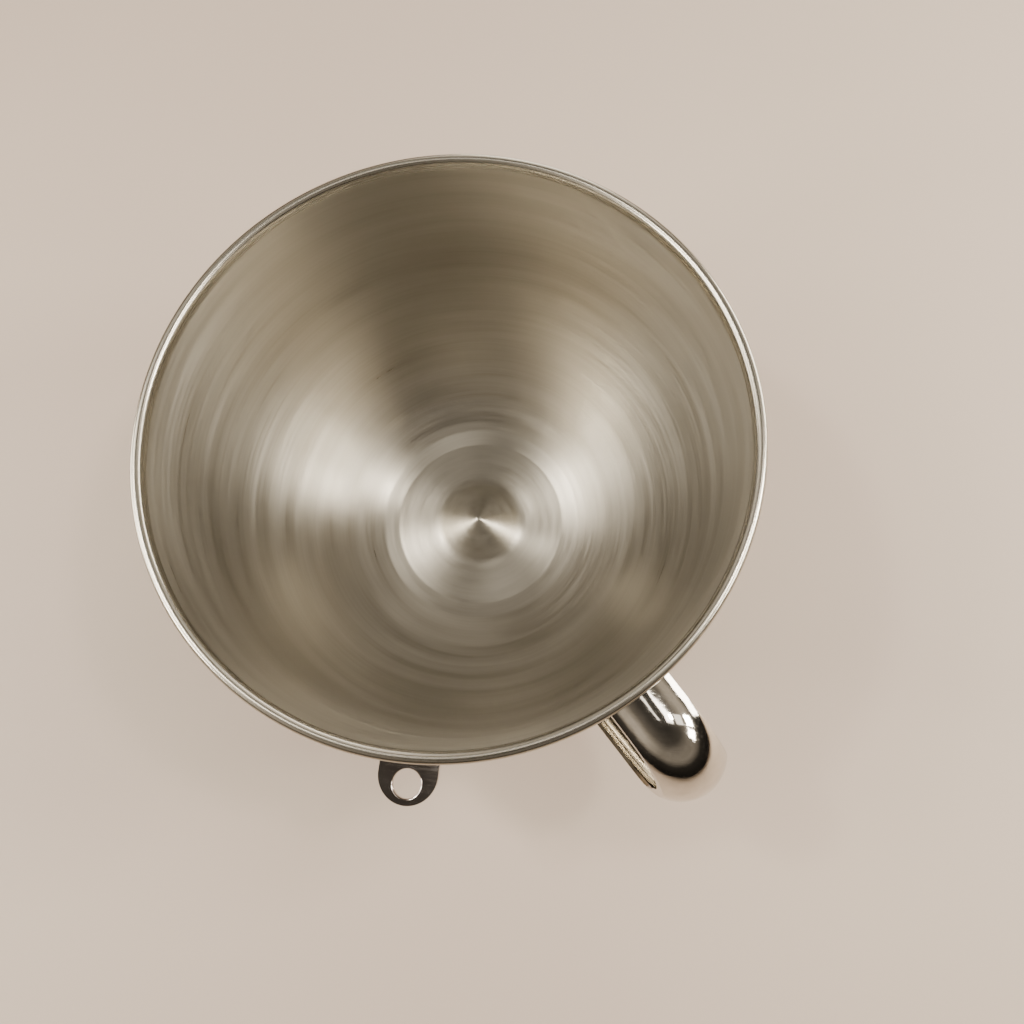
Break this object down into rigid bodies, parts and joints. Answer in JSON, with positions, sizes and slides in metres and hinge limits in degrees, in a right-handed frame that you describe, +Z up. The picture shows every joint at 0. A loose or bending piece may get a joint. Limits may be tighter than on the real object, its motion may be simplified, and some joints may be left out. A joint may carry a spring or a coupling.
{
  "type": "stand mixer bowl",
  "caption": "Spun steel mixing bowl with rolled rim, welded foot ring, half-tube loop handle, pin-hole support ears and a rear latch pin for a bowl-lift stand mixer.",
  "frame": {"origin": "centre of the foot ring's resting plane, on the bowl's axis", "axes": "+Z up out of the bowl's mouth; -Y is the front and +Y points out along the rear latch pin; the support ears lie on -X and +X; the handle is at the front left, 44 degrees round from the left ear"},
  "size_m": [0.274, 0.2545, 0.1572],
  "materials": {
    "satin_steel": "satin, fine circular spin lines",
    "foot_steel": "satin, brushed round the ring",
    "polished_steel": "mirror polished stainless steel with fine handling scratches",
    "ear_steel": "polished stamped stainless steel",
    "pin_steel": "turned"
  },
  "bodies": {
    "root": {"bowl_shell": "satin_steel", "foot_ring": "foot_steel", "handle": "polished_steel", "left_support_ear": "ear_steel", "right_support_ear": "ear_steel", "rear_latch_bracket": "ear_steel", "rear_latch_pin": "pin_steel"}
  },
  "joints": []
}
